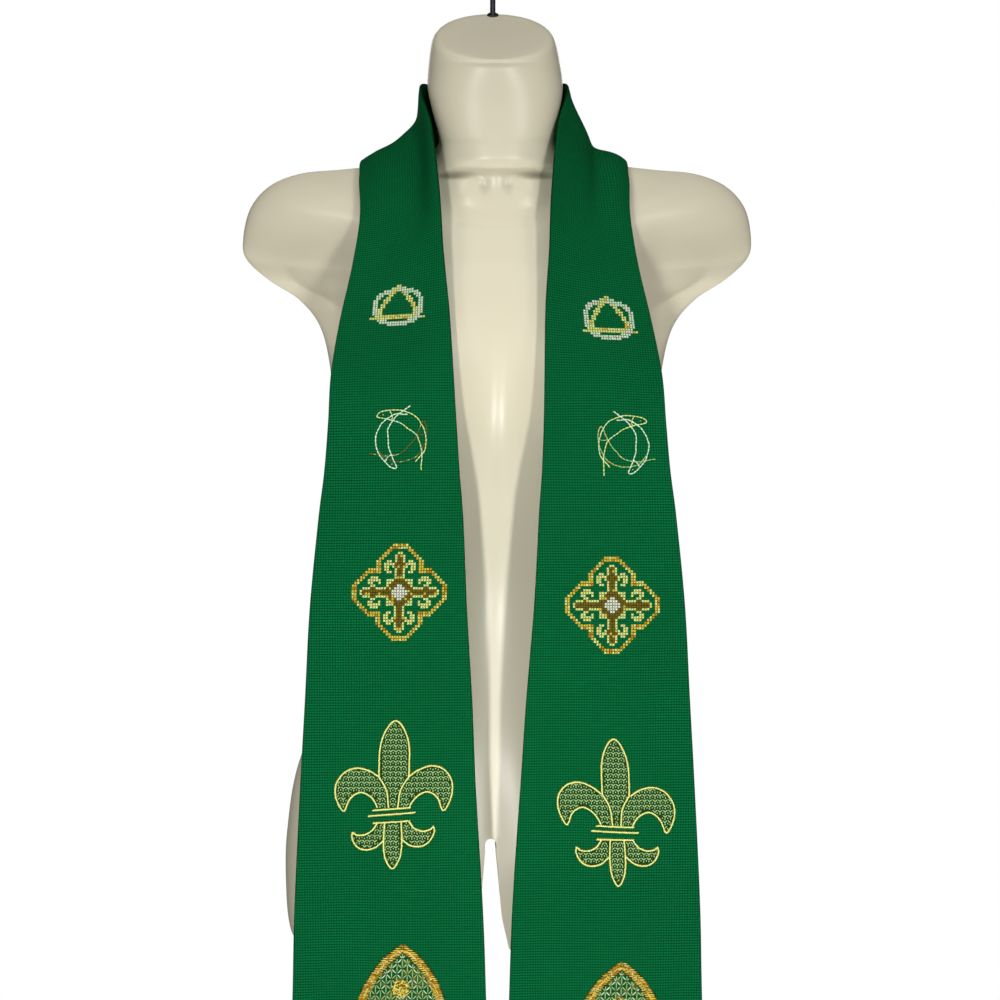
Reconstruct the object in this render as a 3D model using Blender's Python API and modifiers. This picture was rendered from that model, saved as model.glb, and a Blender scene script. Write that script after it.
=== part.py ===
# Clerical stole hung round the neck of a limbless torso form, which hangs by its hook.
# Metres, +Z up, the front faces -Y. The origin is the hook's rest: the point that the rail touches.

import math

import bmesh
import bpy
import numpy as np

MM = 0.001

# ---- Driving sizes, in mm ----
# A drop is a height below the hook's rest. Depths are along Y, and -Y is the front.

HOOK_WIRE = 4.0
HOOK_REST_RADIUS = 24.0  # inside of the crook
HOOK_TIP_RUN = 8.0  # straight run below the crook, on its open side
STEM_SEAT_DROP = 84.0  # the stem's end, down inside the neck
BORE_CLEARANCE = 0.4
SEAT_RADIUS = 4.4  # the shallow well round the stem
SEAT_DROP = 57.5

FORM_SIDES = 48
FORM_RINGS_PER_ROW = 2
BUST_OUT = 72.0
BUST_DROP = 338.0
BUST_HEIGHT = 47.0
BUST_WIDTH = 46.0
BUST_RISE = 60.0  # spread above the fullest point
BUST_FALL = 42.0  # spread below it
ARM_BACK = 54.0  # how far the arms stand behind the chest
ARM_OUT = (72.0, 120.0)
ARM_DROPS = (166.0, 252.0, 285.0, 335.0)  # begins, full, still full, gone
NOTCH_TOP_DROP = 643.0
NOTCH_TOP_RADIUS = 4.0
NOTCH_ASIDE = -4.0

CLOTH_WALL = 1.6
SEAM_GAP = 0.4
HALF_LENGTH = 1270.0  # centre-back seam to hem, along the cloth
SLIDE = 6.0  # the stole has slid this far towards the viewer's right
RIGHT_TURN = 4.5  # the right band's inner edge is turned away this far, at its most
RIGHT_TURN_DROPS = (190.0, 660.0)
COLUMNS = 13
FINE_STEP = 9.0  # between the stations round the neck and shoulders
COARSE_STEP = 36.0  # between the stations where the cloth hangs
FINE_UNTIL = 300.0
NORMAL_REACH = 2.0  # the cloth's run is read this far either side of a station

# Cross-sections of the form, top to bottom. drop is the height of a ring's two sides, half its half-width,
# front and back its reach from the plane y = 0, dip and rise how far its front falls and its back climbs, in
# degrees, sweep how far its sides are set back, square the exponent of its superellipse, and aside its shift
# to the viewer's right.
FORM_COLUMNS = ("drop", "half", "front", "back", "dip", "rise", "sweep", "square", "aside")
FORM_ROWS = (
    (70.9, 24.0, 35.0, 15.0, 26, 26, 0, 2.0, 0.0),
    (71.4, 37.0, 49.0, 28.0, 26, 26, 0, 2.1, 0.0),
    (73.4, 42.5, 54.0, 33.0, 25, 25, 0, 2.1, 0.0),
    (78.8, 45.3, 56.0, 35.5, 24, 24, 0, 2.1, 0.0),
    (92.3, 47.8, 54.5, 37.5, 22, 22, 0, 2.1, 0.5),
    (106.4, 49.2, 51.5, 38.0, 19, 19, 0, 2.1, 1.0),
    (123.7, 46.2, 47.2, 37.5, 14, 14, 0, 2.1, 1.5),
    (140.0, 42.5, 43.6, 38.0, 9, 9, 0, 2.1, 2.0),
    (150.0, 43.0, 41.4, 39.0, 5, 5, 1, 2.0, 2.5),
    (157.5, 52.0, 38.0, 42.0, 14, 3, 4, 1.9, 3.0),
    (162.0, 74.0, 39.0, 44.0, 22, 1, 9, 1.75, 3.5),
    (165.0, 98.0, 41.0, 47.0, 28, 0, 13, 1.7, 4.0),
    (166.8, 117.0, 42.5, 49.0, 29, 0, 17, 1.75, 4.0),
    (169.5, 146.0, 45.0, 52.0, 29, 0, 20, 1.85, 4.0),
    (178.5, 169.0, 49.5, 56.0, 25, 0, 22, 2.0, 4.0),
    (195.0, 183.5, 56.0, 61.0, 20, 0, 22, 2.1, 4.0),
    (218.0, 188.5, 63.0, 66.0, 13, 0, 21, 2.7, 3.5),
    (231.0, 185.0, 68.0, 68.0, 9, 0, 19, 3.2, 3.0),
    (247.0, 168.0, 73.0, 70.0, 5, 0, 15, 3.4, 3.0),
    (262.0, 146.0, 77.0, 72.0, 2, 0, 11, 3.1, 3.0),
    (282.0, 130.0, 82.0, 74.0, 0, 0, 7, 2.5, 2.5),
    (312.0, 122.0, 86.0, 74.0, 0, 0, 5, 2.25, 2.0),
    (352.0, 118.0, 88.0, 70.0, 0, 0, 3, 2.3, 1.0),
    (410.0, 107.0, 84.0, 60.0, 0, 0, 0, 2.2, 0.0),
    (475.0, 99.0, 78.0, 53.0, 0, 0, 0, 2.2, -1.0),
    (535.0, 107.0, 84.0, 57.0, 0, 0, 0, 2.2, -2.0),
    (598.0, 139.5, 95.0, 73.0, 0, 0, 0, 2.2, -3.0),
    (655.0, 150.0, 100.0, 84.0, 0, 0, 0, 2.3, -3.5),
    (700.0, 150.5, 98.0, 85.0, 0, 0, 0, 2.3, -4.0),
    (726.0, 148.0, 95.0, 82.0, 0, 0, 0, 2.3, -4.0),
    (734.0, 143.0, 90.0, 77.0, 0, 0, 0, 2.3, -4.0),
    (737.0, 133.0, 81.0, 68.0, 0, 0, 0, 2.3, -4.0),
)

# Half of the drape, from the centre back round the neck and down the front to the hem: the inner edge, the
# outer edge, and the sag of the cloth between them towards the form. out is the distance from the middle.
DRAPE_COLUMNS = ("inner_out", "inner_y", "inner_drop", "outer_out", "outer_y", "outer_drop", "sag")
DRAPE_ROWS = (
    (0.0, 43.0, 108.0, 0.0, 64.0, 179.0, 0.0),
    (34.5, 30.0, 107.5, 57.5, 59.5, 172.5, 6.0),
    (53.0, -5.0, 107.0, 93.0, 28.5, 160.0, 10.0),
    (44.5, -34.5, 137.0, 97.5, -2.5, 173.5, 8.0),
    (39.0, -61.0, 184.0, 96.5, -40.5, 202.5, 7.0),
    (36.5, -81.0, 227.0, 101.5, -65.0, 239.0, 4.0),
    (32.5, -99.0, 269.0, 109.0, -87.0, 276.0, 2.0),
    (30.0, -118.0, 310.0, 114.5, -111.0, 313.0, -1.0),
    (28.0, -130.0, 345.0, 116.0, -127.0, 346.0, -2.0),
    (26.0, -135.0, 378.0, 118.5, -134.0, 379.0, -2.0),
    (23.5, -137.0, 411.0, 122.5, -137.0, 411.0, -1.5),
    (21.0, -137.5, 473.0, 128.8, -138.0, 473.0, 0.0),
    (17.5, -137.5, 536.0, 132.5, -138.0, 536.0, 0.0),
    (15.0, -137.0, 598.0, 136.3, -137.5, 598.0, 0.0),
    (10.2, -136.5, 682.0, 140.8, -137.0, 682.0, 0.0),
    (8.0, -136.0, 745.0, 142.6, -136.5, 745.0, 0.0),
    (5.5, -135.5, 850.0, 146.0, -136.0, 850.0, 0.0),
    (4.5, -135.0, 1000.0, 149.5, -135.0, 1000.0, 0.0),
    (4.5, -135.0, 1180.0, 151.5, -135.0, 1180.0, 0.0),
    (4.5, -135.0, 1360.0, 152.5, -135.0, 1360.0, 0.0),
)

# Soft folds that run along the cloth: where each starts and ends from the centre back, its place across the
# band (0 inner edge, 1 outer edge) at either end, its half-width, and its height out from the form.
FOLD_COLUMNS = ("start", "end", "place_start", "place_end", "half_width", "height")
LEFT_FOLDS = (
    (95.0, 230.0, 0.08, 0.12, 9.0, 2.0),
    (40.0, 215.0, 0.32, 0.36, 12.0, -4.5),
    (50.0, 190.0, 0.84, 0.80, 12.0, 3.5),
    (330.0, 760.0, 0.34, 0.42, 26.0, 1.8),
    (520.0, 1290.0, 0.72, 0.66, 30.0, -2.6),
    (760.0, 1290.0, 0.28, 0.24, 30.0, 3.0),
)
RIGHT_FOLDS = (
    (50.0, 250.0, 0.36, 0.30, 22.0, 3.5),
    (60.0, 205.0, 0.70, 0.66, 9.0, -3.5),
    (60.0, 215.0, 0.88, 0.84, 10.0, 4.0),
    (380.0, 820.0, 0.62, 0.54, 28.0, 2.0),
    (560.0, 1290.0, 0.30, 0.36, 30.0, -2.4),
    (800.0, 1290.0, 0.74, 0.70, 30.0, 2.8),
)


def clear_scene():
    for obj in list(bpy.data.objects):
        bpy.data.objects.remove(obj, do_unlink=True)


def new_collection(name):
    collection = bpy.data.collections.new(name)
    bpy.context.scene.collection.children.link(collection)
    return collection


def material(name, color, roughness, metallic=0.0):
    made = bpy.data.materials.new(name)
    made.use_nodes = True
    made.diffuse_color = (*color, 1.0)
    shader = made.node_tree.nodes["Principled BSDF"]
    shader.inputs["Base Color"].default_value = (*color, 1.0)
    shader.inputs["Roughness"].default_value = roughness
    shader.inputs["Metallic"].default_value = metallic
    return made


def columns_of(names, rows):
    return dict(zip(names, np.array(rows, float).T))


def through_rows(values, steps):
    # Catmull-Rom curve through the values, with this many steps to each span
    ends = np.concatenate([[2 * values[0] - values[1]], values, [2 * values[-1] - values[-2]]])
    before, start, end, after = (ends[i:len(ends) - 3 + i, None] for i in range(4))
    t = np.arange(steps)[None, :] / steps
    curve = start + 0.5 * t * (
        end - before
        + t * (2 * before - 5 * start + 4 * end - after + t * (3 * (start - end) + after - before))
    )
    return np.append(curve.ravel(), values[-1])


def mesh_object(name, points, faces, collection, surface):
    mesh = bpy.data.meshes.new(name)
    mesh.from_pydata(points.tolist(), [], faces)
    mesh.materials.append(surface)
    mesh.shade_smooth()
    obj = bpy.data.objects.new(name, mesh)
    collection.objects.link(obj)
    return obj


# ---- Torso form ----


def bust(x, drop, front_facing):
    # a soft rounded rise on either side of the middle, faded out towards the back
    spread = np.where(drop < BUST_DROP, BUST_RISE, BUST_FALL)
    height = np.exp(-(((np.abs(x) - BUST_OUT) / BUST_WIDTH) ** 2) - ((drop - BUST_DROP) / spread) ** 2)
    return BUST_HEIGHT * height * np.clip(front_facing, 0.0, 1.0)


def smooth_step(value, low, high):
    t = np.clip((value - low) / (high - low), 0.0, 1.0)
    return t * t * (3 - 2 * t)


def arm_back(x, drop, front_facing):
    # the front of each arm steps back from the chest in smooth steps
    begins, full, still, gone = ARM_DROPS
    share = smooth_step(drop, begins, full) * (1 - smooth_step(drop, still, gone)) * smooth_step(np.abs(x), *ARM_OUT)
    return ARM_BACK * share * np.clip(front_facing * 1.3, 0.0, 1.0)


def form_points():
    rows = columns_of(FORM_COLUMNS, FORM_ROWS)
    ring = {name: through_rows(values, FORM_RINGS_PER_ROW)[:, None] for name, values in rows.items()}
    angle = np.arange(FORM_SIDES)[None, :] * 2 * math.pi / FORM_SIDES
    power = 2.0 / ring["square"]
    across = np.sign(np.cos(angle)) * np.abs(np.cos(angle)) ** power
    depth = np.sign(np.sin(angle)) * np.abs(np.sin(angle)) ** power
    x = ring["half"] * across
    middle = (ring["back"] - ring["front"]) / 2
    y = middle + depth * (ring["back"] + ring["front"]) / 2 + ring["sweep"] * across**2
    behind = y - middle - ring["sweep"]
    slope = np.where(behind < 0, ring["dip"], ring["rise"])
    z = -ring["drop"] + np.tan(np.radians(slope)) * behind
    y = y - bust(x, ring["drop"], -depth) + arm_back(x, ring["drop"], -depth)
    return np.stack([x + ring["aside"], y, z], axis=-1)


def torso_form(collection, surface):
    rings = form_points()
    count, sides = rings.shape[:2]
    faces = [
        (i * sides + j, (i + 1) * sides + j, (i + 1) * sides + (j + 1) % sides, i * sides + (j + 1) % sides)
        for i in range(count - 1)
        for j in range(sides)
    ]
    faces.append(tuple(range(sides)))
    faces.append(tuple(range(count * sides - 1, (count - 1) * sides - 1, -1)))
    return mesh_object("torso_form", rings.reshape(-1, 3) * MM, faces, collection, surface)


def cut(target, cutter):
    cutter.hide_render = True
    cutter.display_type = "WIRE"
    boolean = target.modifiers.new(cutter.name, "BOOLEAN")
    boolean.operation = "DIFFERENCE"
    boolean.object = cutter


def turned_cutter(name, radius, top_drop, bottom_drop, place, collection):
    mesh = bpy.data.meshes.new(name)
    shape = bmesh.new()
    bmesh.ops.create_cone(
        shape,
        cap_ends=True,
        segments=24,
        radius1=radius * MM,
        radius2=radius * MM,
        depth=(bottom_drop - top_drop) * MM,
    )
    shape.to_mesh(mesh)
    shape.free()
    cutter = bpy.data.objects.new(name, mesh)
    cutter.location = (0.0, place * MM, -(top_drop + bottom_drop) / 2 * MM)
    collection.objects.link(cutter)
    return cutter


def notch_cutter(collection):
    # the gap between the thighs: a rounded top that flares slowly, then quickly at the bottom edge
    half_widths = ((NOTCH_TOP_DROP + 10.0, 4.0), (700.0, 8.0), (722.0, 13.0), (733.0, 22.0), (745.0, 45.0))
    arc = np.radians(np.arange(0, 181, 30))
    top = [(NOTCH_TOP_RADIUS * math.cos(a), NOTCH_TOP_DROP + NOTCH_TOP_RADIUS * (1 - math.sin(a))) for a in arc]
    right = [(half, drop) for drop, half in half_widths[::-1]]
    left = [(-half, drop) for drop, half in half_widths]
    mesh = bpy.data.meshes.new("thigh_notch")
    shape = bmesh.new()
    outline = [shape.verts.new(((x + NOTCH_ASIDE) * MM, -0.2, -drop * MM)) for x, drop in right + top + left]
    face = shape.faces.new(outline)
    pulled = bmesh.ops.extrude_face_region(shape, geom=[face])["geom"]
    moved = [item for item in pulled if isinstance(item, bmesh.types.BMVert)]
    bmesh.ops.translate(shape, verts=moved, vec=(0.0, 0.4, 0.0))
    bmesh.ops.recalc_face_normals(shape, faces=shape.faces)
    shape.to_mesh(mesh)
    shape.free()
    cutter = bpy.data.objects.new("thigh_notch", mesh)
    collection.objects.link(cutter)
    return cutter


# ---- Hook ----


def hook(collection, surface):
    # a crook of one wire: the stem rises behind the origin, bends over it and ends in a short straight tip
    bend = HOOK_REST_RADIUS + HOOK_WIRE / 2
    arc = np.radians(np.arange(0, 181, 9))
    points = [(bend, -STEM_SEAT_DROP)]
    points += [(bend * math.cos(a), bend * math.sin(a) - HOOK_REST_RADIUS) for a in arc]
    points += [(-bend, -HOOK_REST_RADIUS - HOOK_TIP_RUN)]
    curve = bpy.data.curves.new("hook", "CURVE")
    curve.dimensions = "3D"
    curve.bevel_depth = HOOK_WIRE / 2 * MM
    curve.bevel_resolution = 3
    curve.use_fill_caps = True
    spline = curve.splines.new("POLY")
    spline.points.add(len(points) - 1)
    for point, (y, z) in zip(spline.points, points):
        point.co = (0.0, y * MM, z * MM, 1.0)
    curve.materials.append(surface)
    obj = bpy.data.objects.new("hook", curve)
    collection.objects.link(obj)
    return obj


# ---- Stole ----


def drape():
    # (distance along the cloth's middle, {column: values}) for one side, closely sampled
    rows = columns_of(DRAPE_COLUMNS, DRAPE_ROWS)
    fine = {name: through_rows(values, 40) for name, values in rows.items()}
    middle = np.stack(
        [
            fine["inner_out"] + fine["outer_out"],
            fine["inner_y"] + fine["outer_y"],
            fine["inner_drop"] + fine["outer_drop"],
        ],
        axis=1,
    ) / 2
    steps = np.linalg.norm(np.diff(middle, axis=0), axis=1)
    return np.concatenate([[0.0], np.cumsum(steps)]), fine


def stations(start, end):
    # close together round the neck, wider apart where the cloth hangs
    fine = np.linspace(start, FINE_UNTIL, round((FINE_UNTIL - start) / FINE_STEP) + 1)
    coarse = np.linspace(FINE_UNTIL, end, round((end - FINE_UNTIL) / COARSE_STEP) + 1)
    return np.concatenate([fine, coarse[1:]])


def right_turn(drop):
    low, high = RIGHT_TURN_DROPS
    t = np.clip((drop - low) / (high - low), 0.0, 1.0)
    return RIGHT_TURN * np.sin(math.pi * t) ** 2 * (1.3 - 0.6 * t)


def edges_at(along, side):
    # the inner and outer edge points at each distance along the drape; side is +1 on the viewer's right
    distance, fine = drape()
    read = {name: np.interp(np.abs(along), distance, values) for name, values in fine.items()}
    hand = np.where(along < 0, -side, side)
    if side > 0:
        read["inner_out"] = read["inner_out"] + right_turn(read["inner_drop"])
    inner = np.stack([hand * read["inner_out"], read["inner_y"], -read["inner_drop"]], axis=1)
    outer = np.stack([hand * read["outer_out"], read["outer_y"], -read["outer_drop"]], axis=1)
    return inner, outer, read["sag"]


def ruled(along, across, side):
    # points on straight lines from the inner edge to the outer one, those lines, and the sag
    inner, outer, sag = edges_at(along, side)
    line = (outer - inner)[:, None]
    return inner[:, None] + line * across[..., None], line, sag


def fold_height(along, across, width, folds):
    height = np.zeros(np.broadcast(along, across).shape)
    for row in folds:
        fold = dict(zip(FOLD_COLUMNS, row))
        t = np.clip((along - fold["start"]) / (fold["end"] - fold["start"]), 0.0, 1.0)
        place = fold["place_start"] + (fold["place_end"] - fold["place_start"]) * t
        reach = (across - place) * width / fold["half_width"]
        height = height + fold["height"] * np.sin(math.pi * t) ** 0.8 * np.exp(-(reach**2))
    return height


def stole_half(name, side, folds, collection, surface):
    start = SEAM_GAP / 2 + side * SLIDE
    along = stations(start, HALF_LENGTH + side * SLIDE)
    across = np.linspace(0.0, 1.0, COLUMNS)[None, :]
    flat, widthwise, sag = ruled(along, across, side)
    lengthwise = ruled(along + NORMAL_REACH, across, side)[0] - ruled(along - NORMAL_REACH, across, side)[0]
    outward = side * np.cross(lengthwise, widthwise)
    outward /= np.linalg.norm(outward, axis=-1, keepdims=True)
    width = np.linalg.norm(widthwise, axis=-1)
    lift = fold_height(along[:, None], across, width, folds) - 4 * sag[:, None] * across * (1 - across)
    points = flat + outward * lift[..., None]
    count = len(along)
    faces = [
        (i * COLUMNS + j, i * COLUMNS + j + 1, (i + 1) * COLUMNS + j + 1, (i + 1) * COLUMNS + j)
        for i in range(count - 1)
        for j in range(COLUMNS - 1)
    ]
    obj = mesh_object(name, points.reshape(-1, 3) * MM, faces, collection, surface)
    wall = obj.modifiers.new("wall", "SOLIDIFY")
    wall.thickness = CLOTH_WALL * MM
    wall.offset = 0.0
    return obj


def main():
    clear_scene()
    parts = new_collection("clerical_stole")
    cutters = new_collection("cutters")
    ivory = material("ivory_plastic", (0.73, 0.67, 0.52), 0.35)
    steel = material("dark_steel", (0.12, 0.12, 0.125), 0.35, metallic=1.0)
    cloth = material("green_cloth", (0.0, 0.085, 0.032), 0.85)

    form = torso_form(parts, ivory)
    stem = HOOK_REST_RADIUS + HOOK_WIRE / 2
    bore = HOOK_WIRE / 2 + BORE_CLEARANCE
    cut(form, turned_cutter("stem_bore", bore, 0.0, STEM_SEAT_DROP + BORE_CLEARANCE, stem, cutters))
    cut(form, turned_cutter("stem_well", SEAT_RADIUS, 0.0, SEAT_DROP, stem, cutters))
    cut(form, notch_cutter(cutters))
    hook(parts, steel)
    stole_half("stole_left", -1, LEFT_FOLDS, parts, cloth)
    stole_half("stole_right", 1, RIGHT_FOLDS, parts, cloth)


main()
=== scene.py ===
# A green clerical stole with worked motifs, hung round the neck of an ivory torso form on a steel hook.
# Lengths are in millimetres until a mesh is made. x runs to the viewer's right, the front faces -y, and
# a drop is a height below the hook's rest.

import math
from functools import reduce

import bmesh
import bpy
import numpy as np
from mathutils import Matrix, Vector


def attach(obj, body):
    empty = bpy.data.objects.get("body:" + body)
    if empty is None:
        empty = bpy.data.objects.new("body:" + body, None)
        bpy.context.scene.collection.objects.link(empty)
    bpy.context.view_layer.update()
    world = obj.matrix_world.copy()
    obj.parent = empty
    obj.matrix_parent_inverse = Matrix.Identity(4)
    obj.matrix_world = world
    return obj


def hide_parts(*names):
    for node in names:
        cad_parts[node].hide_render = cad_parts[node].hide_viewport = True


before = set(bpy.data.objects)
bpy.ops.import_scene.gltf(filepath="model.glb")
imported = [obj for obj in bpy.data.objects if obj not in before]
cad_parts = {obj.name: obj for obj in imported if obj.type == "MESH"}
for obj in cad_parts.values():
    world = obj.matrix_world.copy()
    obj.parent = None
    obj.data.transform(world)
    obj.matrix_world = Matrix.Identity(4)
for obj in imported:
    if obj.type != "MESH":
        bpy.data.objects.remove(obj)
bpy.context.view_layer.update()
mm = 0.001


def smoothStep(value, low, high):
    # 0 below low, 1 above high, and 3t^2 - 2t^3 between them
    t = np.clip((value - low) / (high - low), 0.0, 1.0)
    return t * t * (3 - 2 * t)


def splineThrough(rows, at):
    # Catmull-Rom: a cubic between two rows that passes through both, and leaves each along the line
    # from the row before it to the row after it
    rows = np.asarray(rows, float)
    span = np.clip(np.floor(at).astype(int), 0, len(rows) - 2)
    t = (at - span)[..., None]
    ends = np.vstack([2 * rows[0] - rows[1], rows, 2 * rows[-1] - rows[-2]])
    before, start, end, after = (ends[span + i] for i in range(4))
    cubic = 2 * before - 5 * start + 4 * end - after + t * (3 * (start - end) + after - before)
    return start + 0.5 * t * (end - before + t * cubic)


def pointsOf(*parts):
    # coordinates side by side, along a last axis
    return np.stack(parts, axis=-1)


def unit(vectors):
    return vectors / np.maximum(np.linalg.norm(vectors, axis=-1, keepdims=True), 1e-12)


def circle(count):
    # angles at even steps, once round
    return np.arange(count) * 2 * math.pi / count


def quarterCircle(t):
    # 0 at 0, rising as a quarter circle to 1 at 1
    return np.sqrt(np.clip(1 - (1 - np.clip(t, 0.0, 1.0)) ** 2, 0.0, 1.0))


def runLength(points):
    # how far along its line each point lies
    steps = np.linalg.norm(np.diff(points, axis=-2), axis=-1)
    return np.concatenate([np.zeros_like(steps[..., :1]), steps.cumsum(axis=-1)], axis=-1)


def addObject(name, data):
    made = bpy.data.objects.new(name, data)
    bpy.context.scene.collection.objects.link(made)
    return made


def makeMesh(name, points, faces, materials, uv=None, slots=None, values=None):
    # points in mm, faces of four corners each as one array, uv for each point, slots for each face, and
    # named numbers for each point
    points = points.reshape(-1, 3) * mm
    mesh = bpy.data.meshes.new(name)
    mesh.vertices.add(len(points))
    mesh.vertices.foreach_set("co", points.ravel())
    mesh.loops.add(faces.size)
    mesh.loops.foreach_set("vertex_index", faces.ravel())
    mesh.polygons.add(len(faces))
    mesh.polygons.foreach_set("loop_start", np.arange(len(faces)) * faces.shape[1])
    for material in materials:
        mesh.materials.append(material)
    if slots is not None:
        mesh.polygons.foreach_set("material_index", slots.astype(np.int32))
    if uv is not None:
        layer = mesh.uv_layers.new(name="UVMap")
        layer.data.foreach_set("uv", uv.reshape(-1, 2)[faces.ravel()].ravel())
    for label, numbers in (values or {}).items():
        mesh.attributes.new(label, "FLOAT", "POINT").data.foreach_set("value", numbers.ravel())
    mesh.update(calc_edges=True)
    mesh.validate()
    mesh.shade_smooth()
    return addObject(name, mesh)


def loftFaces(rings, sides):
    # four-cornered faces between closed rings that follow one another
    ring, side = np.meshgrid(np.arange(rings - 1), np.arange(sides), indexing="ij")
    here, there = ring * sides + side, ring * sides + (side + 1) % sides
    return pointsOf(here, there, there + sides, here + sides).reshape(-1, 4)


def tubeFaces(rings, sides):
    # the rings joined, and the first and the last closed by strips from one side to the other
    j = np.arange(sides // 2 - 1)
    cap = pointsOf(j, j + 1, sides - 2 - j, sides - 1 - j)
    return np.concatenate([loftFaces(rings, sides)[:, ::-1], cap, cap[:, ::-1] + (rings - 1) * sides])


# Materials

def fill(tree, node, values):
    # a number or a colour is set on the node's socket, and another node's output is joined to it
    for label, value in values.items():
        if isinstance(value, bpy.types.NodeSocket):
            tree.links.new(value, node.inputs[label])
        else:
            node.inputs[label].default_value = value


def newMaterial(name, color, roughness, metallic=0.0, specular=0.5, sheen=0.0, sheenColor=(1.0, 1.0, 1.0)):
    made = bpy.data.materials.new(name)
    made.use_nodes = True
    shader = made.node_tree.nodes["Principled BSDF"]
    plain = {
        "Base Color": (*color, 1.0),
        "Roughness": roughness,
        "Metallic": metallic,
        "Specular IOR Level": specular,
        "Sheen Weight": sheen,
        "Sheen Tint": (*sheenColor, 1.0),
    }
    fill(made.node_tree, shader, plain)
    return made, made.node_tree, shader


def newGroup(name, inputs, outputs):
    # an input without a usual value is a vector; all the other sockets are numbers
    group = bpy.data.node_groups.new(name, "ShaderNodeTree")
    for label, usual in inputs.items():
        kind = "NodeSocketVector" if usual is None else "NodeSocketFloat"
        socket = group.interface.new_socket(label, in_out="INPUT", socket_type=kind)
        if usual is not None:
            socket.default_value = usual
    for label in outputs:
        group.interface.new_socket(label, in_out="OUTPUT", socket_type="NodeSocketFloat")
    return group, group.nodes.new("NodeGroupInput").outputs, group.nodes.new("NodeGroupOutput")


def calculate(tree, operation, *values):
    # one Math node; each value is a number or another node's output
    node = tree.nodes.new("ShaderNodeMath")
    node.operation = operation
    fill(tree, node, dict(enumerate(values)))
    return node.outputs[0]


def product(tree, *values):
    # one Math node for each value after the first
    return reduce(lambda whole, value: calculate(tree, "MULTIPLY", whole, value), values)


def total(tree, *values):
    return reduce(lambda whole, value: calculate(tree, "ADD", whole, value), values)


def ridges(tree, value, turns=1):
    # |sin (2 pi turns value)|
    return calculate(tree, "ABSOLUTE", calculate(tree, "SINE", product(tree, value, 2 * math.pi * turns)))


def rescale(tree, value, fromLow, fromHigh, toLow, toHigh, kind="LINEAR"):
    node = tree.nodes.new("ShaderNodeMapRange")
    node.interpolation_type = kind
    limits = {"From Min": fromLow, "From Max": fromHigh, "To Min": toLow, "To Max": toHigh}
    fill(tree, node, {"Value": value, **limits})
    return node.outputs["Result"]


def addNoise(tree, vector, scale, detail):
    node = tree.nodes.new("ShaderNodeTexNoise")
    fill(tree, node, {"Vector": vector, "Scale": scale, "Detail": detail})
    return node.outputs["Fac"]


def partsOf(tree, vector):
    # the first two parts of a vector
    node = tree.nodes.new("ShaderNodeSeparateXYZ")
    fill(tree, node, {0: vector})
    return node.outputs[0], node.outputs[1]


def readPlace(tree):
    return tree.nodes.new("ShaderNodeTexCoord").outputs["Object"]


def readUv(tree):
    node = tree.nodes.new("ShaderNodeUVMap")
    node.uv_map = "UVMap"
    return node.outputs[0]


def readAttribute(tree, name):
    node = tree.nodes.new("ShaderNodeAttribute")
    node.attribute_name = name
    return node.outputs["Fac"]


def aidaWeaveGroup():
    # Blocks of four threads each way: |sin 4 pi u| gives four ridges across a block, and every second
    # block is turned; a small hole opens where four blocks meet, and the rows of blocks sink where they join.
    group, taken, given = newGroup(
        "aidaWeave", {"Blocks": None, "Thread Depth": 0.4, "Hole Depth": 1.0}, ("Height", "Shade")
    )
    u, v = partsOf(group, taken["Blocks"])
    count = total(group, calculate(group, "FLOOR", u), calculate(group, "FLOOR", v))
    turned = calculate(group, "GREATER_THAN", calculate(group, "FRACT", product(group, count, 0.5)), 0.25)
    straight = calculate(group, "SUBTRACT", 1.0, turned)
    alongU = product(group, ridges(group, u, 2), turned)
    alongV = product(group, ridges(group, v, 2), straight)
    ridge = total(group, alongU, alongV)
    fromU, fromV = calculate(group, "PINGPONG", u, 0.5), calculate(group, "PINGPONG", v, 0.5)
    squares = total(group, product(group, fromU, fromU), product(group, fromV, fromV))
    corner = calculate(group, "SQRT", squares)
    solid = rescale(group, corner, 0.08, 0.27, 0.0, 1.0, "SMOOTHSTEP")
    pillow = rescale(group, calculate(group, "MINIMUM", fromU, fromV), 0.0, 0.16, 0.0, 1.0, "SMOOTHSTEP")
    # painted shade and highlight: the factors below darken the colour in the holes and where blocks join, and
    # lighten the blocks' middles and the thread crowns
    rows = rescale(group, fromV, 0.02, 0.36, 0.52, 1.09, "SMOOTHSTEP")
    columns = rescale(group, fromU, 0.02, 0.3, 0.72, 1.08, "SMOOTHSTEP")
    height = total(
        group,
        product(group, ridge, taken["Thread Depth"]),
        product(group, pillow, 0.35),
        product(group, solid, taken["Hole Depth"]),
    )
    holes = rescale(group, solid, 0.0, 1.0, 0.5, 1.0)
    threads = rescale(group, ridge, 0.0, 1.0, 0.84, 1.06)
    shade = product(group, product(group, holes, threads), product(group, rows, columns))
    fill(group, given, {"Height": height, "Shade": shade})
    return group


def plyTwistGroup():
    # floss strands that wind round a stitch: |sin 2 pi (strands turn + length / lay)|
    group, taken, given = newGroup("plyTwist", {"Along": None, "Strands": 2.0, "Lay": 2.2}, ("Height",))
    turn, length = partsOf(group, taken["Along"])
    around = product(group, turn, taken["Strands"])
    wound = total(group, around, calculate(group, "DIVIDE", length, taken["Lay"]))
    fill(group, given, {"Height": ridges(group, wound)})
    return group


def mottleGroup():
    # two sizes of soft noise that lift and lower a colour a little
    group, taken, given = newGroup("mottle", {"Place": None, "Amount": 0.05}, ("Shade", "Mask"))
    coarse, fine = addNoise(group, taken["Place"], 14.0, 3.0), addNoise(group, taken["Place"], 220.0, 2.0)
    mask = total(group, product(group, coarse, 0.7), product(group, fine, 0.3))
    centred = product(group, calculate(group, "SUBTRACT", mask, 0.5), 2.0)
    shade = total(group, 1.0, product(group, centred, taken["Amount"]))
    fill(group, given, {"Shade": shade, "Mask": mask})
    return group


groups = {"weave": aidaWeaveGroup(), "twist": plyTwistGroup(), "mottle": mottleGroup()}


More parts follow.
